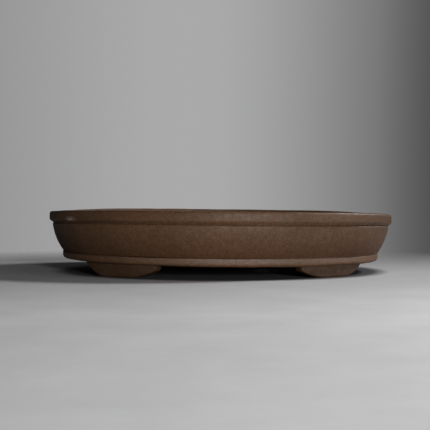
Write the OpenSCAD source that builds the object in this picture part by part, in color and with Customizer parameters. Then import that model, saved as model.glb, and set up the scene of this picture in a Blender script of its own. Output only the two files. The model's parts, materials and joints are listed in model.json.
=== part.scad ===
// Shallow oval bonsai pot of unglazed stoneware. The wall, rim, belt, floor and
// four feet are separate pieces of clay, luted together. A plastic screen lies
// over each drain hole, held by a clip of bent wire.
// Millimetres, +Z up. The origin is on the table under the middle of the pot,
// with +X along its length and -Y towards the front.

/* [Pot] */
// Length over the rim
pot_l = 360; // [350:1:370]
// Width over the rim
pot_w = 280; // [276:1:290]
// Height from the table to the top of the rim
pot_h = 64; // [60:1:72]
// Radius of the round ends
end_r = 120; // [116:1:124]

/* [Rim] */
// Height of the rim, down to the line where it meets the wall
rim_h = 12.5; // [11.5:0.5:13.5]
// Height of the rim's upright face, from the top down
rim_face_h = 6.8; // [6:0.1:7.5]
// How far the rim stands out from the wall
rim_lip = 3.2; // [2.5:0.1:4]
// Rounding between the upright face and the slope under it
rim_turn_r = 3; // [2:0.1:4]
// Rounding of the outer top edge
rim_edge_r = 2; // [1:0.1:2.5]
// Rounding of the inner top edge
rim_inner_r = 1.2; // [0.6:0.1:2]

/* [Wall] */
// Thickness of the wall
wall_t = 7; // [5:0.5:9]
// How far the wall leans in at its top, in degrees
wall_lean = 6; // [4:0.5:8]
// Radius of the wall's outward curve
wall_curve_r = 62; // [58:1:68]
// Depth of the shadow line between the rim and the wall
seam_depth = 0.8; // [0.4:0.1:1.5]

/* [Belt] */
// Height of the belt
belt_h = 8; // [6:0.5:10]
// Thickness of the belt
belt_t = 4.2; // [3.5:0.1:6]
// How far the belt's face lies inside the rim's edge
belt_inset = 14; // [13.5:0.1:14.4]
// Rounding under the belt
belt_under_r = 3.5; // [2:0.1:3.5]
// Rounding of the belt's top edge
belt_edge_r = 0.7; // [0.3:0.1:1]

/* [Floor] */
// Thickness of the floor
floor_t = 7.5; // [6:0.5:7.5]
// Diameter of each drain hole
drain_d = 28; // [26:1:32]
// Distance between the two drain holes
drain_spacing = 130; // [110:1:150]
// Diameter of each tie wire hole
tie_hole_d = 6; // [5:0.5:8]
// Distance between the tie wire holes along the pot
tie_spacing_x = 190; // [180:1:200]
// Distance between the tie wire holes across the pot
tie_spacing_y = 100; // [80:1:110]

/* [Feet] */
// Height of the feet, from the table to the floor
foot_h = 13; // [11:0.5:15]
// Length of a foot's flat sole
foot_sole_l = 35.5; // [32:0.5:40]
// Direction of a foot from the middle of the side curve
foot_angle = 57.7; // [56:0.1:60]
// Width of a foot where it joins the floor
foot_w = 11; // [9:0.5:13]
// How far a foot narrows at the sole, on each of its long faces
foot_draft = 1; // [0.5:0.1:2]

/* [Screens] */
// Openings along each side of a screen
screen_cells = 9; // [9:2:9]
// Distance between the openings
screen_pitch = 5; // [5:0.1:5.4]
// Width of each opening
screen_gap = 3; // [2.4:0.1:3.4]
// Thickness of a screen
screen_t = 1.6; // [1.2:0.1:2]
// Thickness of the clip wire
wire_d = 1.8; // [1.4:0.1:2]

/* [Hidden] */
$fn = 180;
// Points on each small rounding
round_steps = 5;
// Points on each large curve of a section
curve_steps = 14;

half_l = pot_l / 2;
half_w = pot_w / 2;
// The oval is four arcs, tangent where they meet. An end arc's centre is end_c along
// the pot, a side arc's centre is side_c across it, and both lie on the line to the join
end_c = half_l - end_r;
side_rise = half_w - end_r;
side_c = (end_c * end_c - side_rise * side_rise) / (2 * side_rise);
side_r = half_w + side_c;
cutter_reach = 4;

// How far the belt hangs below the floor
belt_drop = 0.5;
belt_z = foot_h - belt_drop;
belt_top = belt_z + belt_h;
belt_in = belt_inset + belt_t;
floor_z = belt_top - floor_t;
tie_hole_r = tie_hole_d / 2;
// How far the holes' cutters pass each face of the floor
overshoot = 1;

// How far the slope under the rim turns in from upright, in degrees
rim_turn = 40;
// Height of the wall's bevel, from the seam down
wall_bevel = 1;
// The wall's two faces are arcs about one centre
rim_z = pot_h - rim_h;
wall_top = rim_z - wall_bevel;
curve_x = rim_lip + wall_curve_r * cos(wall_lean);
curve_z = wall_top + wall_curve_r * sin(wall_lean);
wall_inner_r = wall_curve_r - wall_t;
rim_w = curve_x - sqrt(pow(wall_inner_r, 2) - pow(curve_z - rim_z, 2));

foot_setback = 0.8;
foot_face_inset = belt_in + foot_setback;
foot_bevel = 1;
// A foot's outer end is one curve. Its inner end is a low curve, a corner and a steep face
outer_end_from = 14;
outer_end_to = 47;
outer_end_r = foot_h / (cos(outer_end_from) - cos(outer_end_to));
tail_from = 8;
tail_to = 24;
tail_r = 88;
corner_r = 2.5;
inner_face_angle = 66;

wire_r = wire_d / 2;
screen_l = screen_cells * screen_pitch + (screen_pitch - screen_gap);
bend_r = 3;
loop_r = 6;
clip_leg_x = 2 * screen_pitch;
clip_tip_l = 11;
clip_high = belt_top + screen_t + wire_r;
clip_low = floor_z - wire_r;

clay = [0.33, 0.24, 0.19];
clay_dark = [0.29, 0.2, 0.15];
black_plastic = [0.06, 0.06, 0.06];
copper_wire = [0.45, 0.26, 0.17];

// Points on an arc, from one angle to another
function arc(centre, r, from, to, steps) =
    [for (i = [0:steps]) let (a = from + (to - from) * i / steps) centre + r * [cos(a), sin(a)]];

// The right hand end of the oval, and below it the back, each cut from a whole turn
// between the two lines to its joins. The cutter reaches well past the pot
module end_arc(section) {
    join = [end_c, 0] + cutter_reach * [end_c, side_c];
    intersection() {
        translate([end_c, 0, 0]) rotate_extrude() polygon(section);
        linear_extrude(pot_h) polygon([[end_c, 0], [join[0], -join[1]], join]);
    }
}

module side_arc(section) {
    join = [0, -side_c] + cutter_reach * [end_c, side_c];
    intersection() {
        translate([0, -side_c, 0]) rotate_extrude() polygon(section);
        linear_extrude(pot_h) polygon([[0, -side_c], join, [-join[0], join[1]]]);
    }
}

// A ring all around the oval. A profile's points are [distance inside the rim's edge, height]
module oval_ring(profile) {
    for (flip = [0, 1]) {
        mirror([flip, 0, 0]) end_arc([for (p = profile) [end_r - p[0], p[1]]]);
        mirror([0, flip, 0]) side_arc([for (p = profile) [side_r - p[0], p[1]]]);
    }
}

// A flat oval plate, from four sectors that reach the centres of their arcs
module oval_plate(inset, z, t) {
    function sector(r) = [[0, z], [r - inset, z], [r - inset, z + t], [0, z + t]];
    for (flip = [0, 1]) {
        mirror([flip, 0, 0]) end_arc(sector(end_r));
        mirror([0, flip, 0]) side_arc(sector(side_r));
    }
}

// Flat topped band on top of the wall, with an upright face and a slope under it
module rim_band() {
    inner_top = arc([rim_w - rim_inner_r, pot_h - rim_inner_r], rim_inner_r, 0, 90, round_steps);
    outer_top = arc([rim_edge_r, pot_h - rim_edge_r], rim_edge_r, 90, 180, round_steps);
    turn = arc([rim_turn_r, pot_h - rim_face_h], rim_turn_r, 180, 180 + rim_turn, round_steps);
    seam = [[rim_lip + seam_depth, rim_z], [rim_w, rim_z]];
    color(clay) oval_ring(concat(inner_top, outer_top, turn, seam));
}

// Wall that curves in from the rim to the floor
module pot_wall() {
    function fall(z, r) = 180 + asin((curve_z - z) / r);
    centre = [curve_x, curve_z];
    outer = arc(centre, wall_curve_r, 180 + wall_lean, fall(belt_top, wall_curve_r), curve_steps);
    inner = arc(centre, wall_inner_r, fall(belt_top, wall_inner_r), fall(rim_z, wall_inner_r), curve_steps);
    seam = [[rim_lip + seam_depth, rim_z]];
    color(clay) oval_ring(concat(seam, outer, inner));
}

// Raised strip around the foot of the wall
module belt_band() {
    top = arc([belt_inset + belt_edge_r, belt_top - belt_edge_r], belt_edge_r, 90, 180, round_steps);
    under = arc([belt_inset + belt_under_r, belt_z + belt_under_r], belt_under_r, 180, 270, round_steps);
    color(clay) oval_ring(concat([[belt_in, belt_z], [belt_in, belt_top]], top, under));
}

// Floor with two drain holes on the long axis and four holes for tie wires
module floor_slab() {
    cut_z = floor_z - overshoot;
    cut_h = floor_t + 2 * overshoot;
    color(clay_dark) difference() {
        oval_plate(belt_in, floor_z, floor_t);
        for (side = [-1, 1]) {
            translate([side * drain_spacing / 2, 0, cut_z]) cylinder(h = cut_h, d = drain_d);
            for (end = [-1, 1])
                translate([side * tie_spacing_x / 2, end * tie_spacing_y / 2, cut_z])
                    cylinder(h = cut_h, r = tie_hole_r);
        }
    }
}

// Points on a curve that leaves a foot's sole, or goes on from there, between two slopes
function rise(start, r, from, to, steps) =
    [for (i = [0:steps]) let (a = from + (to - from) * i / steps)
        start + r * [sin(a) - sin(from), cos(from) - cos(a)]];

// Side view of a foot, with its outer end to the right
function foot_outline() =
    let (
        sole_end = [foot_sole_l / 2, 0],
        outer_end = rise(sole_end, outer_end_r, outer_end_from, outer_end_to, curve_steps),
        tail = rise(sole_end, tail_r, tail_from, tail_to, round_steps),
        corner = rise(tail[round_steps], corner_r, tail_to, inner_face_angle, round_steps),
        face_low = corner[round_steps],
        face_h = foot_h - face_low[1],
        face_top = face_low + [face_h / tan(inner_face_angle), face_h],
        inner_end = concat(tail, [for (i = [1:round_steps]) corner[i]], [face_top]),
        last = len(inner_end) - 1
    )
    concat(outer_end, [for (i = [last:-1:0]) [-inner_end[i][0], inner_end[i][1]]]);

// One foot, behind and to the right. It follows the oval
module foot() {
    outer = foot_face_inset;
    inner = foot_face_inset + foot_w;
    section = [
        [outer, foot_h], [inner, foot_h],
        [inner - foot_draft, foot_bevel], [inner - foot_draft - foot_bevel, 0],
        [outer + foot_draft + foot_bevel, 0], [outer + foot_draft, foot_bevel]
    ];
    intersection() {
        oval_ring(section);
        translate([0, -side_c, 0])
            rotate([0, 0, foot_angle - 90])
                translate([0, side_r, 0])
                    rotate([90, 0, 0])
                        linear_extrude(2 * outer + foot_w)
                            polygon(foot_outline());
    }
}

module foot_front_left() {
    color(clay) mirror([0, 1, 0]) mirror([1, 0, 0]) foot();
}

module foot_front_right() {
    color(clay) mirror([0, 1, 0]) foot();
}

module foot_back_left() {
    color(clay) mirror([1, 0, 0]) foot();
}

module foot_back_right() {
    color(clay) foot();
}

// Square moulded screen that keeps the soil in
module drain_screen(side) {
    reach = (screen_cells - 1) / 2;
    translate([side * drain_spacing / 2, 0, belt_top])
        linear_extrude(screen_t)
            difference() {
                square(screen_l, center = true);
                for (i = [-reach:reach], j = [-reach:reach])
                    translate([i, j] * screen_pitch) square(screen_gap, center = true);
            }
}

module drain_screen_left() {
    color(black_plastic) drain_screen(-1);
}

module drain_screen_right() {
    color(black_plastic) drain_screen(1);
}

// Bend in the wire, in the XY plane about the origin
module wire_bend(r, from, sweep) {
    rotate([0, 0, from])
        rotate_extrude(angle = sweep)
            translate([r, 0]) circle(wire_r);
}

// Half of a clip: tip under the floor, leg through the drain hole and loop on the screen
module clip_half() {
    leg_low = clip_low + bend_r;
    leg_high = clip_high - bend_r;
    translate([clip_leg_x, 0, leg_low]) cylinder(h = leg_high - leg_low, r = wire_r);
    translate([clip_leg_x + bend_r, 0, leg_low])
        rotate([90, 0, 0]) wire_bend(bend_r, 180, 90);
    translate([clip_leg_x + bend_r, 0, clip_low])
        rotate([0, 90, 0]) cylinder(h = clip_tip_l, r = wire_r);
    translate([clip_leg_x, bend_r, leg_high])
        rotate([90, 0, 90]) wire_bend(bend_r, 90, 90);
    translate([clip_leg_x + loop_r, bend_r, clip_high]) wire_bend(loop_r, -90, 270);
    translate([0, bend_r - loop_r, clip_high])
        rotate([0, 90, 0]) cylinder(h = clip_leg_x + loop_r, r = wire_r);
}

// Butterfly clip of one bent wire, with its legs turned out under the floor
module screen_clip(side) {
    translate([side * drain_spacing / 2, 0, 0]) {
        clip_half();
        mirror([1, 0, 0]) clip_half();
    }
}

module screen_clip_left() {
    color(copper_wire) screen_clip(-1);
}

module screen_clip_right() {
    color(copper_wire) screen_clip(1);
}

rim_band();
pot_wall();
belt_band();
floor_slab();
foot_front_left();
foot_front_right();
foot_back_left();
foot_back_right();
drain_screen_left();
drain_screen_right();
screen_clip_left();
screen_clip_right();
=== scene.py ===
import json
import math

import bmesh
import bpy
import numpy as np
from mathutils import Matrix, Vector, noise


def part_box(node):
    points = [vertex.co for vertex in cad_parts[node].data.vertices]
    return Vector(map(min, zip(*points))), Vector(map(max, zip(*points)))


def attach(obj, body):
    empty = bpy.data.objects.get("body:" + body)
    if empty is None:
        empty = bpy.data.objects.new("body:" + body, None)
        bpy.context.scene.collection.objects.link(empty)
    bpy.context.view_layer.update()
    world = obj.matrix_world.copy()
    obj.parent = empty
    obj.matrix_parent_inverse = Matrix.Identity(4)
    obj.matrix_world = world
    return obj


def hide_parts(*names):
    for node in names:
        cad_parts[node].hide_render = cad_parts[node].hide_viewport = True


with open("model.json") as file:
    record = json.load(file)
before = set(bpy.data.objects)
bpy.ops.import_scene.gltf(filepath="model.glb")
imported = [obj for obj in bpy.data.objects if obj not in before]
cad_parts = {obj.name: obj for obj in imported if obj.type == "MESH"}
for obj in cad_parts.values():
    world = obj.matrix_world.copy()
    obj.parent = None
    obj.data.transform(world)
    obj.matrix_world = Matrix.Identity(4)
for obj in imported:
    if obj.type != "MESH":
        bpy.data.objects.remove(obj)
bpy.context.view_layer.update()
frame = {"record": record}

MM = 0.001
# The longest step along a section of a clay ring
MESH_STEP = 1.1 * MM


# Sizes. The facets of a CAD mesh stop just short of the pot's round ends, so the length is rounded

rim_low, rim_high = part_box("rim_band")
belt_low, belt_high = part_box("belt_band")
floor_low, floor_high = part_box("floor_slab")
foot_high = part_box("foot_back_right")[1]

HALF_W = rim_high.y
HALF_L = round(rim_high.x, 3)
RIM_TOP, RIM_Z = rim_high.z, rim_low.z
BELT_TOP, BELT_Z = belt_high.z, belt_low.z
FLOOR_TOP, FLOOR_Z = floor_high.z, floor_low.z
FOOT_H = foot_high.z
BELT_INSET = HALF_W - belt_high.y
BELT_IN = HALF_W - floor_high.y

LIP = 3.2 * MM
SEAM_DEPTH = 0.8 * MM
RIM_FACE_H = 9.2 * MM
WALL_T = 7 * MM
WALL_CURVE_R = 62 * MM
WALL_LEAN = math.radians(6)
WALL_TOP = RIM_Z - 1 * MM
WALL_CURVE_X = LIP + WALL_CURVE_R * math.cos(WALL_LEAN)
WALL_CURVE_Z = WALL_TOP + WALL_CURVE_R * math.sin(WALL_LEAN)
WALL_INNER_R = WALL_CURVE_R - WALL_T

# The oval is four arcs, tangent where they meet
END_R = 120 * MM
END_C = HALF_L - END_R
SIDE_RISE = HALF_W - END_R
SIDE_C = (END_C**2 - SIDE_RISE**2) / (2 * SIDE_RISE)
SIDE_R = HALF_W + SIDE_C
JOIN = math.atan2(SIDE_C, END_C)


def oval(turn, inset):
    """Where the oval lies in each direction of turn, that far inside the rim's edge."""
    along, across = np.cos(turn), np.sin(turn)
    at_end = np.abs(across) <= math.sin(JOIN)
    r = np.where(at_end, END_R, SIDE_R) - inset
    x = np.where(at_end, np.sign(along) * END_C, 0) + r * along
    y = np.where(at_end, 0, -np.sign(across) * SIDE_C) + r * across
    return x, y


def even_turns(count):
    """Directions that are evenly spaced along the oval, and not in angle."""
    fine = np.linspace(0, 2 * math.pi, 20000)
    x, y = oval(fine, 0)
    run = np.concatenate([[0], np.cumsum(np.hypot(np.diff(x), np.diff(y)))])
    return np.interp(np.linspace(0, run[-1], count, endpoint=False), run, fine)


# Outlines

def arc(centre, r, start, stop, steps):
    """Points on an arc, with the angles in degrees."""
    a = np.radians(np.linspace(start, stop, steps + 1))
    return [(centre[0] + r * math.cos(t), centre[1] + r * math.sin(t)) for t in a]


def rounded(corners, steps=6):
    """A closed outline through (x, y, radius) corners, each rounded to its radius."""
    points = []
    for i, (x, y, r) in enumerate(corners):
        here = Vector((x, y))
        back = (Vector(corners[i - 1][:2]) - here).normalized()
        ahead = (Vector(corners[(i + 1) % len(corners)][:2]) - here).normalized()
        half = back.angle(ahead) / 2
        centre = here + (back + ahead).normalized() * (r / math.sin(half))
        reach = r / math.tan(half)
        first, last = here + back * reach - centre, here + ahead * reach - centre
        sweep = first.angle_signed(last)
        for k in range(steps + 1):
            spoke = first.copy()
            spoke.rotate(Matrix.Rotation(-sweep * k / steps, 2))
            points.append(tuple(centre + spoke))
    return points


def spaced(points, gap):
    """The closed outline again, with its long straights split so that no step is over gap."""
    out = []
    for a, b in zip(points, points[1:] + points[:1]):
        parts = max(1, math.ceil(math.dist(a, b) / gap))
        out += [tuple(np.array(a) + (np.array(b) - np.array(a)) * k / parts) for k in range(parts)]
    return out


# How firing has moved the clay

LEFT_DROP = 2.8 * MM
RIGHT_DROP = 3.4 * MM
RIM_SINK = 0.2 * MM
FRONT_RISE = 1.0 * MM
FLOOR_SAG = 0.5 * MM
BELT_RISE = 1.3 * MM
RIGHT_TILT = 1.35 * MM


def lift(x, y, z):
    """How far the pot has warped up or down. The rim has risen at the front and dropped at
    both ends, the floor has sagged between the feet, the belt has risen at both ends, and
    the right hand side stands lower."""
    along = x / HALF_L
    up_wall = np.clip((z - BELT_TOP) / (RIM_TOP - BELT_TOP), 0, 1)
    down_belt = np.clip((BELT_TOP - z) / (BELT_TOP - BELT_Z), 0, 1)
    above_sole = np.clip(z / FLOOR_Z, 0, 1)
    drop = np.where(x < 0, LEFT_DROP * along**4, RIGHT_DROP * along**8)
    rim = -RIM_SINK - FRONT_RISE * y / HALF_W - drop
    sag = -FLOOR_SAG * (1 - along**2)
    belt = BELT_RISE * along**4 * down_belt
    tilt = -RIGHT_TILT * along
    return rim * up_wall + (sag * (1 - up_wall) + belt + tilt) * above_sole


# Each layer of unevenness is (how far, size of the features, seed)
CLAY_UNEVENNESS = [(0.45 * MM, 70 * MM, 3), (0.22 * MM, 19 * MM, 17), (0.12 * MM, 3.2 * MM, 41)]
FOOT_UNEVENNESS = [(0.3 * MM, 22 * MM, 8), (0.12 * MM, 3.2 * MM, 41)]
NO_UNEVENNESS = []


def fire(obj, layers):
    """Roughens a piece with those layers, then warps it with the pot."""
    mesh = obj.data
    normals = [v.normal.copy() for v in mesh.vertices]
    for v, normal in zip(mesh.vertices, normals):
        push = 0
        for depth, size, seed in layers:
            push += depth * noise.noise(v.co / size + Vector((seed, 0, 0)))
        v.co += normal * push
    count = len(mesh.vertices)
    co = np.empty(count * 3)
    mesh.vertices.foreach_get("co", co)
    co = co.reshape(-1, 3)
    co[:, 2] = np.maximum(co[:, 2] + lift(*co.T), 0)
    mesh.vertices.foreach_set("co", co.ravel())
    mesh.update()


# Meshes

def link(obj):
    bpy.context.scene.collection.objects.link(obj)
    return obj


def mesh_object(name, verts, faces, smooth=True):
    mesh = bpy.data.meshes.new(name)
    mesh.from_pydata([tuple(v) for v in verts], [], faces)
    bm = bmesh.new()
    bm.from_mesh(mesh)
    bmesh.ops.remove_doubles(bm, verts=bm.verts, dist=0.001 * MM)
    bmesh.ops.recalc_face_normals(bm, faces=bm.faces)
    bm.to_mesh(mesh)
    bm.free()
    mesh.polygons.foreach_set("use_smooth", [smooth] * len(mesh.polygons))
    return link(bpy.data.objects.new(name, mesh))


def loft(name, rows, closed):
    """Joins rows of points, each row a closed outline. Open lofts get a cap at both ends."""
    n = len(rows[0])
    verts = [p for row in rows for p in row]
    faces = []
    for i in range(len(rows) if closed else len(rows) - 1):
        j = (i + 1) % len(rows)
        for k in range(n):
            m = (k + 1) % n
            faces.append((i * n + k, j * n + k, j * n + m, i * n + m))
    if not closed:
        faces += [tuple(range(n)), tuple(range(len(verts) - n, len(verts)))]
    return mesh_object(name, verts, faces)


def ring(name, section, stations=720):
    """A closed section of (inset, height) points, carried right round the oval."""
    inset, height = np.array(section).T
    x, y = oval(even_turns(stations)[:, None], inset[None, :])
    z = np.broadcast_to(height, x.shape)
    return loft(name, np.stack([x, y, z], -1).tolist(), closed=True)


# Materials

def material(name):
    mat = bpy.data.materials.new(name)
    mat.use_nodes = True
    return mat


def add_node(mat, kind, **inputs):
    """A new shader node. Each input is a value, or another node's output."""
    new = mat.node_tree.nodes.new("ShaderNode" + kind)
    for name, value in inputs.items():
        connect(mat, new.inputs[name.replace("_", " ")], value)
    return new


def connect(mat, socket, value):
    if isinstance(value, bpy.types.NodeSocket):
        mat.node_tree.links.new(value, socket)
    else:
        socket.default_value = value


def own_place(mat):
    """Where a point of the piece lies, which is the same as in the frame."""
    return add_node(mat, "TexCoord").outputs["Object"]


def own_xyz(mat):
    return add_node(mat, "SeparateXYZ", Vector=own_place(mat)).outputs[:3]


def shifted_place(mat, seed):
    return add_node(mat, "Mapping", Vector=own_place(mat), Location=(seed, seed, seed)).outputs[0]


def fine_noise(mat, size, detail=3.0, seed=0.0):
    """Noise whose features are about that size, from 0 to 1."""
    place = shifted_place(mat, seed)
    texture = add_node(mat, "TexNoise", Vector=place, Scale=1 / size, Detail=detail, Roughness=0.55)
    return texture.outputs[0]


def spots(mat, size, fill, seed=0.0):
    """Scattered grains, 1 inside a grain and 0 outside. fill is how much of each cell they take."""
    cells = add_node(mat, "TexVoronoi", Vector=shifted_place(mat, seed), Scale=1 / size)
    return spread(mat, cells.outputs["Distance"], fill, fill * 0.6, 0, 1)


def spread(mat, value, low, high, to_low, to_high):
    """The value again, with low to high stretched over to_low to to_high."""
    limits = {"From_Min": low, "From_Max": high, "To_Min": to_low, "To_Max": to_high}
    return add_node(mat, "MapRange", Value=value, **limits).outputs[0]


def arithmetic(mat, operation, values):
    """The values joined by that operation, each a number or another node's output."""
    result = values[0]
    for value in values[1:]:
        node = mat.node_tree.nodes.new("ShaderNodeMath")
        node.operation = operation
        connect(mat, node.inputs[0], result)
        connect(mat, node.inputs[1], value)
        result = node.outputs[0]
    return result


def product(mat, *values):
    return arithmetic(mat, "MULTIPLY", values)


def total(mat, *values):
    return arithmetic(mat, "ADD", values)


def one_minus(mat, value):
    return arithmetic(mat, "SUBTRACT", (1.0, value))


def blend_colours(mat, factor, a, b, mode="MIX"):
    node = mat.node_tree.nodes.new("ShaderNodeMix")
    node.data_type = "RGBA"
    node.blend_type = mode
    colour_a, colour_b = [s for s in node.inputs if s.type == "RGBA"]
    connect(mat, node.inputs[0], factor)
    connect(mat, colour_a, a)
    connect(mat, colour_b, b)
    return next(s for s in node.outputs if s.type == "RGBA")


def near(mat, centre, reach, squash=(1, 1, 1)):
    """1 at that point, falling to 0 at the reach from it, which squash shortens along an axis."""
    away = mat.node_tree.nodes.new("ShaderNodeVectorMath")
    away.operation = "DISTANCE"
    stretched = add_node(mat, "Mapping", Vector=own_place(mat), Scale=squash).outputs[0]
    connect(mat, away.inputs[0], stretched)
    connect(mat, away.inputs[1], tuple(c * k for c, k in zip(centre, squash)))
    return spread(mat, away.outputs["Value"], 0, reach, 1, 0)


# The middle of a painted pool of light: a paler patch on the front of the wall
PAINTED_LIGHT_PATCH = (-32 * MM, -HALF_W, 30 * MM)
# A rubbed patch on the upright face of the rim
RUBBED = (-153 * MM, -77 * MM, RIM_TOP - 8 * MM)
# Top of the band of painted shade on the wall above the belt
LOW_WALL_SHADE_TOP = 48 * MM
# Worn paler edges, which also stand for a painted highlight
WORN_AND_LIT_EDGE = (0.3, 0.19, 0.13, 1)
# Colour of the painted sheen on the belt
BELT_SHEEN_COLOUR = (0.17, 0.12, 0.095, 1)
RUBBED_CLAY = (0.6, 0.5, 0.42, 1)


def clay_material(name, deep, warm, pale, low_wall_shade_colour, roughness, edge_wear_and_highlight, belt_sheen):
    """Unglazed stoneware. Its colour drifts from deep to warm, with pale and dark grains. Both ends
    are painted darker, as painted shade, and a paler patch on the front is a painted pool of light.
    The wall just above the belt is darkened with painted shade, and that band is also matt. The
    edges are worn paler and also carry a painted highlight. The middle of the belt carries a
    painted sheen, the whole belt is painted a little brighter as painted light, and the rim is
    rubbed near its left end."""
    mat = material(name)
    shader = mat.node_tree.nodes["Principled BSDF"]
    shader.inputs["Specular IOR Level"].default_value = 0.38
    x, _, z = own_xyz(mat)
    drift = spread(mat, fine_noise(mat, 60 * MM, 2), 0.38, 0.62, 0, 1)
    mottle = fine_noise(mat, 5 * MM, 4, seed=2)
    grain = fine_noise(mat, 1.3 * MM, 2, seed=5)
    light_grain = spots(mat, 2.2 * MM, 0.3, seed=1)
    dark_grain = spots(mat, 2.8 * MM, 0.26, seed=7)

    on_belt = spread(mat, z, BELT_TOP - 0.8 * MM, BELT_TOP, 1, 0)
    # Painted shade: the downward-facing wall just above the belt is darkened, most at the belt.
    low_wall_painted_shade = product(mat, spread(mat, z, BELT_TOP, LOW_WALL_SHADE_TOP, 0.75, 0), one_minus(mat, on_belt))
    # Edges worn paler, found by pointiness, which also carry a painted highlight where the rounded
    # edges catch light.
    edges = spread(mat, add_node(mat, "NewGeometry").outputs["Pointiness"], 0.53, 0.6, 0, edge_wear_and_highlight)
    rubbed = near(mat, RUBBED, 10 * MM, (1, 1, 3))
    # Painted sheen: the face of the belt is blended paler towards its middle, fading at both ends.
    belt_painted_sheen = product(
        mat,
        spread(mat, z, BELT_Z + 1 * MM, BELT_Z + 4 * MM, 0, belt_sheen),
        on_belt,
        spread(mat, x, -0.7 * HALF_L, -0.15 * HALF_L, 0, 1),
        spread(mat, x, 0.55 * HALF_L, 0.9 * HALF_L, 1, 0),
    )
    colour = blend_colours(mat, drift, deep, warm)
    for amount, other in (
        (spread(mat, mottle, 0.4, 0.7, 0, 0.35), pale),
        (product(mat, light_grain, 0.35), pale),
        (low_wall_painted_shade, low_wall_shade_colour),
        (product(mat, edges, mottle), WORN_AND_LIT_EDGE),
        (product(mat, rubbed, spread(mat, grain, 0.5, 0.56, 0, 1)), RUBBED_CLAY),
        (belt_painted_sheen, BELT_SHEEN_COLOUR),
    ):
        colour = blend_colours(mat, amount, colour, other)
    painted_light_and_tone = product(
        mat,
        total(mat, spread(mat, grain, 0.3, 0.7, 0.72, 1.28), product(mat, dark_grain, -0.4)),
        # Painted shade: both ends are darker, the left from its end to the middle and the right
        # over its outer half.
        spread(mat, x, -HALF_L, 0, 0.85, 1),
        spread(mat, x, 0.5 * HALF_L, HALF_L, 1, 0.64),
        # Painted light: the belt is painted a little brighter.
        spread(mat, on_belt, 0, 1, 1, 1.12),
        # Painted light: a paler patch on the front, left of the middle.
        spread(mat, near(mat, PAINTED_LIGHT_PATCH, 90 * MM, (1, 1, 1.3)), 0, 1, 1, 1.33),
    )
    connect(mat, shader.inputs["Base Color"], blend_colours(mat, 1.0, colour, painted_light_and_tone, "MULTIPLY"))
    polish = spread(mat, mottle, 0.3, 0.7, roughness + 0.08, roughness - 0.08)
    # The band of painted shade above the belt is also made rougher.
    connect(mat, shader.inputs["Roughness"], total(mat, polish, product(mat, low_wall_painted_shade, 0.4)))
    height = total(
        mat, product(mat, grain, 0.6), product(mat, mottle, 0.5), product(mat, light_grain, 0.25)
    )
    bump = add_node(mat, "Bump", Height=height, Strength=0.6, Distance=0.3 * MM)
    connect(mat, shader.inputs["Normal"], bump.outputs[0])
    return mat


def plastic_material(name):
    mat = material(name)
    shader = mat.node_tree.nodes["Principled BSDF"]
    grain = fine_noise(mat, 0.8 * MM, 3)
    dust = spread(mat, fine_noise(mat, 7 * MM, 4, seed=3), 0.5, 0.75, 0, 0.35)
    colour = blend_colours(mat, dust, (0.012, 0.012, 0.013, 1), (0.06, 0.052, 0.045, 1))
    connect(mat, shader.inputs["Base Color"], colour)
    connect(mat, shader.inputs["Roughness"], spread(mat, grain, 0.3, 0.7, 0.38, 0.52))
    bump = add_node(mat, "Bump", Height=grain, Strength=0.3, Distance=0.1 * MM)
    connect(mat, shader.inputs["Normal"], bump.outputs[0])
    return mat


def wire_material(name):
    mat = material(name)
    shader = mat.node_tree.nodes["Principled BSDF"]
    shader.inputs["Metallic"].default_value = 1.0
    worn = spread(mat, fine_noise(mat, 2.5 * MM, 4), 0.52, 0.68, 0, 1)
    colour = blend_colours(mat, worn, (0.2, 0.085, 0.042, 1), (0.36, 0.2, 0.12, 1))
    connect(mat, shader.inputs["Base Color"], colour)
    polish = fine_noise(mat, 0.9 * MM)
    connect(mat, shader.inputs["Roughness"], spread(mat, polish, 0.3, 0.7, 0.3, 0.46))
    scratches = fine_noise(mat, 0.4 * MM)
    bump = add_node(mat, "Bump", Height=scratches, Strength=0.25, Distance=0.05 * MM)
    connect(mat, shader.inputs["Normal"], bump.outputs[0])
    return mat


# Each of the record's material slots, and the material that its pieces wear
FINISHES = {
    "clay_outer": clay_material(
        "outer_clay",
        deep=(0.082, 0.038, 0.0145, 1),
        warm=(0.104, 0.048, 0.02, 1),
        pale=(0.145, 0.09, 0.054, 1),
        low_wall_shade_colour=(0.067, 0.024, 0.0075, 1),
        roughness=0.54,
        edge_wear_and_highlight=0.55,
        belt_sheen=0.42,
    ),
    "clay_floor": clay_material(
        "floor_clay",
        deep=(0.07, 0.037, 0.02, 1),
        warm=(0.088, 0.047, 0.026, 1),
        pale=(0.14, 0.095, 0.065, 1),
        low_wall_shade_colour=(0.06, 0.03, 0.015, 1),
        roughness=0.62,
        edge_wear_and_highlight=0.0,
        belt_sheen=0.0,
    ),
    # The feet wear the outer clay painted about half as dark, as painted shade under the belt.
    "clay_foot": clay_material(
        "foot_clay_in_painted_shade",
        deep=(0.045, 0.02, 0.0068, 1),
        warm=(0.055, 0.0245, 0.009, 1),
        pale=(0.085, 0.054, 0.031, 1),
        low_wall_shade_colour=(0.04, 0.019, 0.0072, 1),
        roughness=0.56,
        edge_wear_and_highlight=0.55,
        belt_sheen=0.0,
    ),
    "screen_plastic": plastic_material("black_plastic"),
    "clip_wire": wire_material("brown_wire"),
}


def finish_piece(obj, node, slot):
    """Gives a piece its material, and lets it stand for its CAD node."""
    obj.data.materials.append(FINISHES[slot])
    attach(obj, "root")
    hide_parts(node)


# Clay pieces

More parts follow.
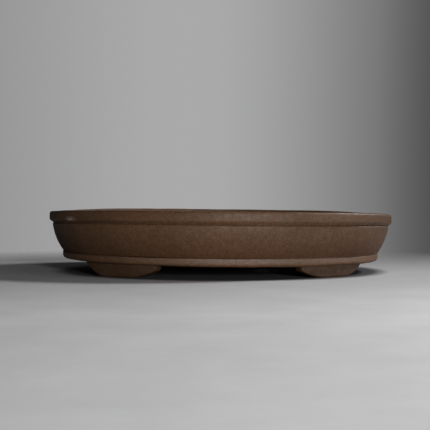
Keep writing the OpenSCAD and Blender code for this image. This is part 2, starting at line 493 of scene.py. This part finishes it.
def make_rim():
    """A flat topped lip, rounded underneath, with a small step back to the wall."""
    rim_w = WALL_CURVE_X - math.sqrt(WALL_INNER_R**2 - (WALL_CURVE_Z - RIM_Z) ** 2)
    section = rounded([
        (0, RIM_TOP, 2.3 * MM),
        (0, RIM_TOP - RIM_FACE_H, 3 * MM),
        (LIP + SEAM_DEPTH, RIM_Z, 0.15 * MM),
        (rim_w, RIM_Z, 0.15 * MM),
        (rim_w, RIM_TOP, 2.2 * MM),
    ])
    return ring("rim", spaced(section, MESH_STEP))


def make_wall():
    """The wall, with the fillet of slip that joins it to the floor inside."""
    def fall(z, r):
        return 180 + math.degrees(math.asin((WALL_CURVE_Z - z) / r))

    centre = (WALL_CURVE_X, WALL_CURVE_Z)
    lean = 180 + math.degrees(WALL_LEAN)
    fillet_r = 8 * MM
    drop = WALL_CURVE_Z - FLOOR_TOP - fillet_r
    meet = 180 + math.degrees(math.asin(drop / (WALL_INNER_R - fillet_r)))
    fillet_x = WALL_CURVE_X + (WALL_INNER_R - fillet_r) * math.cos(math.radians(meet))
    outer = arc(centre, WALL_CURVE_R, lean, fall(BELT_TOP, WALL_CURVE_R), 32)
    fillet = arc((fillet_x, FLOOR_TOP + fillet_r), fillet_r, 270, meet, 8)
    inner = arc(centre, WALL_INNER_R, meet, fall(RIM_Z, WALL_INNER_R), 28)
    seam = [(LIP + SEAM_DEPTH, RIM_Z)]
    return ring("wall", spaced(seam + outer + fillet + inner, MESH_STEP))


def make_belt():
    """A raised strip with a crisp top edge and a rounded underside."""
    section = rounded([
        (BELT_INSET, BELT_TOP, 0.4 * MM),
        (BELT_INSET, BELT_Z, 3.4 * MM),
        (BELT_IN, BELT_Z, 0.3 * MM),
        (BELT_IN, BELT_TOP, 0.3 * MM),
    ])
    return ring("belt", spaced(section, MESH_STEP))


def foot_outline():
    """Side view of a foot as (distance towards the pot's end, height), from its inner end to
    its outer end. The outer end is one curve, and the inner end a low curve and a steep face."""
    half_sole = 17.75 * MM
    outer_r, outer_from, outer_to = 45 * MM, 14, 47
    tail_r, tail_from, tail_to = 88 * MM, 8, 24
    corner_r, face_angle, face_steps = 2.5 * MM, 66, 9

    def rise(start, r, low, high, steps):
        out = []
        for k in range(steps + 1):
            a = math.radians(low + (high - low) * k / steps)
            u = start[0] + r * (math.sin(a) - math.sin(math.radians(low)))
            out.append((u, start[1] + r * (math.cos(math.radians(low)) - math.cos(a))))
        return out

    outer_end = rise((half_sole, 0), outer_r, outer_from, outer_to, 24)
    tail = rise((half_sole, 0), tail_r, tail_from, tail_to, 14)
    corner = rise(tail[-1], corner_r, tail_to, face_angle, 8)
    face_u, face_z = corner[-1]
    face_h = FOOT_H - face_z
    face_run = face_h / math.tan(math.radians(face_angle))
    face = []
    for k in range(1, face_steps + 1):
        face.append((face_u + face_run * k / face_steps, face_z + face_h * k / face_steps))
    inner_end = [(-u, z) for u, z in tail + corner[1:] + face]
    sole = [(half_sole * k / 18, 0) for k in range(-17, 18)]
    return inner_end[::-1] + sole + outer_end


FOOT_ANGLE = math.radians(57.7)
# How long the inner half of a right hand foot is, next to that of a left hand one
RIGHT_FOOT_LENGTH = 0.91


def foot_place(u, inset, side_x, side_y):
    """Where a point of a foot lies, from its distance along the foot and its inset."""
    past_join = SIDE_C / math.sin(JOIN) * math.sin(FOOT_ANGLE - JOIN)
    r = SIDE_R - inset
    if u <= r * math.sin(FOOT_ANGLE - JOIN):
        turn = FOOT_ANGLE - math.asin(u / r)
        x, y = r * math.cos(turn), r * math.sin(turn) - SIDE_C
    else:
        r = END_R - inset
        turn = FOOT_ANGLE - math.asin((u - past_join) / r)
        x, y = END_C + r * math.cos(turn), r * math.sin(turn)
    return side_x * x, side_y * y


def make_foot(name, side_x, side_y):
    """A foot with drafted faces, its sole's edges rounded by a ball that rolls along them. The
    right hand feet are a little shorter at their inner ends."""
    face_inset = BELT_IN + 0.8 * MM
    width, draft, edge_r = 11 * MM, 1 * MM, 1.4 * MM
    edge_steps, face_steps = 5, 9
    top = FOOT_H + 0.4 * MM
    outline = foot_outline()
    normals = []
    for i in range(len(outline)):
        a, b = outline[max(i - 1, 0)], outline[min(i + 1, len(outline) - 1)]
        length = math.dist(a, b)
        normals.append(((a[1] - b[1]) / length, (b[0] - a[0]) / length))
    rows = []
    for (u, z), normal in zip(outline, normals):
        half = []
        for k in range(edge_steps + 1):
            turn = math.pi / 2 * k / edge_steps
            inward = edge_r * (1 - math.sin(turn))
            in_from_face = edge_r * (1 - math.cos(turn))
            half.append((u + normal[0] * inward, min(z + normal[1] * inward, top), in_from_face))
        face_u, face_z = half[0][:2]
        face = [(face_u, top + (face_z - top) * k / face_steps, 0) for k in range(face_steps)]
        row = []
        for sign, points in ((1, face + half), (-1, (face + half)[::-1])):
            for point_u, point_z, step_in in points:
                taper = draft * (1 - point_z / FOOT_H)
                inset = face_inset + (step_in + taper if sign > 0 else width - step_in - taper)
                if side_x > 0 and point_u < 0:
                    point_u *= RIGHT_FOOT_LENGTH
                x, y = foot_place(point_u, inset, side_x, side_y)
                row.append((x, y, point_z))
        rows.append(row)
    return loft(name, rows, closed=False)


def circle(centre, r, count=64):
    turns = np.linspace(0, 2 * math.pi, count, endpoint=False)
    return [(centre[0] + r * math.cos(t), centre[1] + r * math.sin(t)) for t in turns]


ties = next(m for m in frame["record"]["mounts"] if m["name"] == "tie_wire_holes")["dims"]
TIE_X, TIE_Y = ties["spacing_x_mm"] * MM / 2, ties["spacing_y_mm"] * MM / 2
TIE_R = ties["hole_r_mm"] * MM
screen_low, screen_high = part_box("drain_screen_right")
DRAIN_X = (screen_low.x + screen_high.x) / 2
DRAIN_R = 14 * MM


def make_floor():
    """The floor as a filled curve with soft edged holes, cut into a grid so that it can warp."""
    x, y = oval(even_turns(360), BELT_IN)
    holes = [circle((side * DRAIN_X, 0), DRAIN_R) for side in (-1, 1)]
    holes += [circle((sx * TIE_X, sy * TIE_Y), TIE_R, 32) for sx in (-1, 1) for sy in (-1, 1)]
    curve = bpy.data.curves.new("floor", "CURVE")
    curve.dimensions = "2D"
    curve.fill_mode = "BOTH"
    edge_r = 0.7 * MM
    for outline in [list(zip(x, y))] + holes:
        spline = curve.splines.new("POLY")
        spline.points.add(len(outline) - 1)
        spline.points.foreach_set("co", [c for px, py in outline for c in (px, py, 0, 1)])
        spline.use_cyclic_u = True
    curve.extrude = (FLOOR_TOP - FLOOR_Z) / 2 - edge_r
    curve.bevel_depth = edge_r
    curve.bevel_resolution = 3
    curve.offset = -edge_r
    solid = bpy.data.objects.new("floor_curve", curve)
    mesh = bpy.data.meshes.new_from_object(solid)
    bpy.data.objects.remove(solid)
    bm = bmesh.new()
    bm.from_mesh(mesh)
    bmesh.ops.remove_doubles(bm, verts=bm.verts, dist=0.005 * MM)
    step = 10 * MM
    for axis, half in ((0, HALF_L), (1, HALF_W)):
        for k in range(-round(half / step), round(half / step) + 1):
            place, normal = Vector(), Vector()
            place[axis], normal[axis] = k * step, 1
            everything = list(bm.verts) + list(bm.edges) + list(bm.faces)
            bmesh.ops.bisect_plane(bm, geom=everything, plane_co=place, plane_no=normal)
    bmesh.ops.translate(bm, verts=bm.verts, vec=(0, 0, (FLOOR_TOP + FLOOR_Z) / 2))
    bmesh.ops.recalc_face_normals(bm, faces=bm.faces)
    bm.to_mesh(mesh)
    bm.free()
    mesh.name = "floor"
    mesh.materials.clear()
    mesh.polygons.foreach_set("use_smooth", [True] * len(mesh.polygons))
    return link(bpy.data.objects.new("floor", mesh))


clay_pieces = [
    ("rim_band", "clay_outer", make_rim(), CLAY_UNEVENNESS),
    ("pot_wall", "clay_outer", make_wall(), CLAY_UNEVENNESS),
    ("belt_band", "clay_outer", make_belt(), CLAY_UNEVENNESS),
    ("floor_slab", "clay_floor", make_floor(), NO_UNEVENNESS),
]
for end, side_y in (("front", -1), ("back", 1)):
    for side, side_x in (("left", -1), ("right", 1)):
        node = f"foot_{end}_{side}"
        clay_pieces.append((node, "clay_foot", make_foot(node, side_x, side_y), FOOT_UNEVENNESS))

for node, slot, piece, layers in clay_pieces:
    fire(piece, layers)
    finish_piece(piece, node, slot)


# Screens and clips

def make_screen(name, low, high):
    """A moulded screen: a square lattice of bars with rounded edges."""
    cells, gap = 9, 3 * MM
    centre = (low + high) / 2
    side = high.x - low.x
    bar = (side - cells * gap) / (cells + 1)
    lines = []
    for i in range(cells + 1):
        start = -side / 2 + i * (bar + gap)
        lines += [start, start + bar]
    n = len(lines)
    verts = [(centre.x + a, centre.y + b, low.z) for b in lines for a in lines]
    faces = []
    for i in range(n - 1):
        for j in range(n - 1):
            if i % 2 == 0 or j % 2 == 0:
                faces.append((i * n + j, i * n + j + 1, (i + 1) * n + j + 1, (i + 1) * n + j))
    obj = mesh_object(name, verts, faces)
    bm = bmesh.new()
    bm.from_mesh(obj.data)
    raised = bmesh.ops.extrude_face_region(bm, geom=list(bm.faces))["geom"]
    tops = [g for g in raised if isinstance(g, bmesh.types.BMVert)]
    bmesh.ops.translate(bm, verts=tops, vec=(0, 0, high.z - low.z))
    bmesh.ops.recalc_face_normals(bm, faces=bm.faces)
    sharp = [e for e in bm.edges if len(e.link_faces) == 2 and e.calc_face_angle() > 1]
    bmesh.ops.bevel(bm, geom=sharp, offset=0.35 * MM, segments=2, affect="EDGES")
    bm.to_mesh(obj.data)
    bm.free()
    obj.data.polygons.foreach_set("use_smooth", [True] * len(obj.data.polygons))
    return obj


def bend(centre, r, first, second, sweep, steps=10):
    """Points round a bend that starts in the direction first and turns towards second."""
    centre, first, second = Vector(centre), Vector(first), Vector(second)
    turns = [math.radians(sweep) * k / steps for k in range(steps + 1)]
    return [centre + r * (math.cos(t) * first + math.sin(t) * second) for t in turns]


def make_clip(name, low, high):
    """One bent wire: a tip under the floor, a leg up the hole, a loop on the screen, and
    the same again on the other side."""
    wire_r, bend_r, loop_r, leg_x = 0.9 * MM, 3 * MM, 6 * MM, 10 * MM
    middle = (low.x + high.x) / 2
    bottom, top = low.z + wire_r, high.z - wire_r
    ahead, back, left, up, down = (0, 1, 0), (0, -1, 0), (-1, 0, 0), (0, 0, 1), (0, 0, -1)
    half = [Vector((high.x - middle, 0, bottom))]
    half += bend((leg_x + bend_r, 0, bottom + bend_r), bend_r, down, left, 90)
    half += bend((leg_x, bend_r, top - bend_r), bend_r, back, up, 90)
    half += bend((leg_x + loop_r, bend_r, top), loop_r, left, ahead, 270, 36)[1:]
    path = half + [Vector((-p.x, p.y, p.z)) for p in reversed(half)]
    curve = bpy.data.curves.new(name, "CURVE")
    curve.dimensions = "3D"
    curve.bevel_depth = wire_r
    curve.bevel_resolution = 5
    curve.use_fill_caps = True
    spline = curve.splines.new("POLY")
    spline.points.add(len(path) - 1)
    for point, place in zip(spline.points, path):
        point.co = (place.x + middle, place.y, place.z, 1)
    wire = bpy.data.objects.new(name + "_curve", curve)
    mesh = bpy.data.meshes.new_from_object(wire)
    bpy.data.objects.remove(wire)
    mesh.materials.clear()
    mesh.name = name
    mesh.polygons.foreach_set("use_smooth", [True] * len(mesh.polygons))
    return link(bpy.data.objects.new(name, mesh))


for side in ("left", "right"):
    screen = make_screen(f"screen_{side}", *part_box(f"drain_screen_{side}"))
    fire(screen, NO_UNEVENNESS)
    finish_piece(screen, f"drain_screen_{side}", "screen_plastic")
    clip = make_clip(f"clip_{side}", *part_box(f"screen_clip_{side}"))
    fire(clip, NO_UNEVENNESS)
    finish_piece(clip, f"screen_clip_{side}", "clip_wire")


# Stage, light and camera

def floor_material():
    """Pale and matt, faintly mottled, with painted light that makes it paler in front and to the
    right, and painted shade that makes it darker behind, at the back right and, as a painted
    shadow, under the pot.
    It fades out far from the pot so that no horizon shows, and is clear from below."""
    mat = material("pale_floor")
    shader = mat.node_tree.nodes["Principled BSDF"]
    shader.inputs["Roughness"].default_value = 0.8
    x, y, _ = own_xyz(mat)
    # Painted shade at the back right, and a painted shadow under the pot
    painted_back_right_shade = product(mat, spread(mat, y, -0.25, 0.15, 0, 0.5), spread(mat, x, 0, 0.25, 0, 1))
    painted_pot_shadow = near(mat, (0, 0, 0), HALF_L, (1, HALF_L / HALF_W, 1))
    painted_light_and_tone = product(
        mat,
        spread(mat, fine_noise(mat, 60 * MM, 5), 0.3, 0.7, 0.95, 1.05),
        # Painted light: paler in front and to the right; painted shade behind.
        spread(mat, y, -0.4, -0.15, 1.5, 1),
        spread(mat, y, -0.05, 0.2, 1, 0.75),
        spread(mat, x, -0.25, 0.25, 0.86, 1.12),
        one_minus(mat, painted_back_right_shade),
        spread(mat, painted_pot_shadow, 0, 0.1, 1, 0.1),
    )
    colour = blend_colours(mat, 1.0, (0.56, 0.56, 0.564, 1), painted_light_and_tone, "MULTIPLY")
    connect(mat, shader.inputs["Base Color"], colour)
    faded = spread(mat, near(mat, (0, -0.3, 0), 1), 0.48, 0.3, 0, 1)
    from_below = add_node(mat, "NewGeometry").outputs["Backfacing"]
    clear = mat.node_tree.nodes.new("ShaderNodeBsdfTransparent")
    mix = mat.node_tree.nodes.new("ShaderNodeMixShader")
    connect(mat, mix.inputs[0], arithmetic(mat, "MAXIMUM", (faded, from_below)))
    connect(mat, mix.inputs[1], shader.outputs[0])
    connect(mat, mix.inputs[2], clear.outputs[0])
    connect(mat, mat.node_tree.nodes["Material Output"].inputs["Surface"], mix.outputs[0])
    return mat


def make_studio_floor(half=1.5):
    corners = [(-half, -half, 0), (half, -half, 0), (half, half, 0), (-half, half, 0)]
    obj = mesh_object("studio_floor", corners, [(0, 1, 2, 3)], smooth=False)
    obj.data.materials.append(floor_material())


make_studio_floor()


def make_world():
    """A soft grey ground behind the pot, painted darker to the right as painted shade, that lights
    the pot only faintly.
    """
    world = bpy.data.worlds.new("studio")
    world.use_nodes = True
    seen = world.node_tree.nodes["Background"]
    direction = add_node(world, "TexCoord").outputs["Generated"]
    to_right = add_node(world, "SeparateXYZ", Vector=direction).outputs["X"]
    ramp = add_node(world, "ValToRGB", Fac=spread(world, to_right, -0.3, 0.3, 0, 1))
    ramp.color_ramp.interpolation = "B_SPLINE"
    ramp.color_ramp.elements[0].color = (0.27, 0.27, 0.275, 1)
    ramp.color_ramp.elements[1].color = (0.02, 0.02, 0.021, 1)
    for position, grey in ((0.25, 0.29), (0.59, 0.48), (0.85, 0.16)):
        ramp.color_ramp.elements.new(position).color = (grey, grey, grey * 1.01, 1)
    connect(world, seen.inputs["Color"], ramp.outputs["Color"])
    lighting = add_node(world, "Background", Color=(0.04, 0.04, 0.04, 1))
    mix = world.node_tree.nodes.new("ShaderNodeMixShader")
    connect(world, mix.inputs[0], add_node(world, "LightPath").outputs["Is Camera Ray"])
    connect(world, mix.inputs[1], lighting.outputs[0])
    connect(world, mix.inputs[2], seen.outputs[0])
    connect(world, world.node_tree.nodes["World Output"].inputs["Surface"], mix.outputs[0])
    bpy.context.scene.world = world
    bpy.context.scene.view_settings.view_transform = "Standard"


make_world()


def soft_light(name, place, size, power, colour=(1, 1, 1)):
    """A round soft box that faces the pot and that the camera doesn't see."""
    data = bpy.data.lights.new(name, "AREA")
    data.energy = power
    data.color = colour
    data.shape = "DISK"
    data.size = size
    obj = link(bpy.data.objects.new(name, data))
    obj.location = place
    obj.rotation_euler = Vector(place).to_track_quat("Z", "Y").to_euler()
    obj.visible_camera = False


soft_light("from_the_right", (1.3, 0.15, 0.9), 0.35, 20)
soft_light("from_the_front", (0.42, -1.75, 0.3), 0.3, 15)
soft_light("from_above", (0.6, -0.3, 1.2), 0.6, 0.5)
soft_light("sheen", (1.35, -0.6, 0.12), 0.4, 1.5, (0.86, 0.9, 1))


def make_camera():
    """Just above the rim, about a metre off and a little to the left of the middle."""
    orbit, pan_left, aim_down, roll = [math.radians(a) for a in (-3.44, 0.33, 1.19, 0.25)]
    distance, height = 1.071, 0.081
    data = bpy.data.cameras.new("camera")
    data.lens = 84.4
    obj = link(bpy.data.objects.new("camera", data))
    obj.matrix_world = (
        Matrix.Rotation(orbit, 4, "Z")
        @ Matrix.Translation((0, -distance, height))
        @ Matrix.Rotation(pan_left, 4, "Z")
        @ Matrix.Rotation(math.pi / 2 - aim_down, 4, "X")
        @ Matrix.Rotation(roll, 4, "Z")
    )
    bpy.context.scene.camera = obj


make_camera()
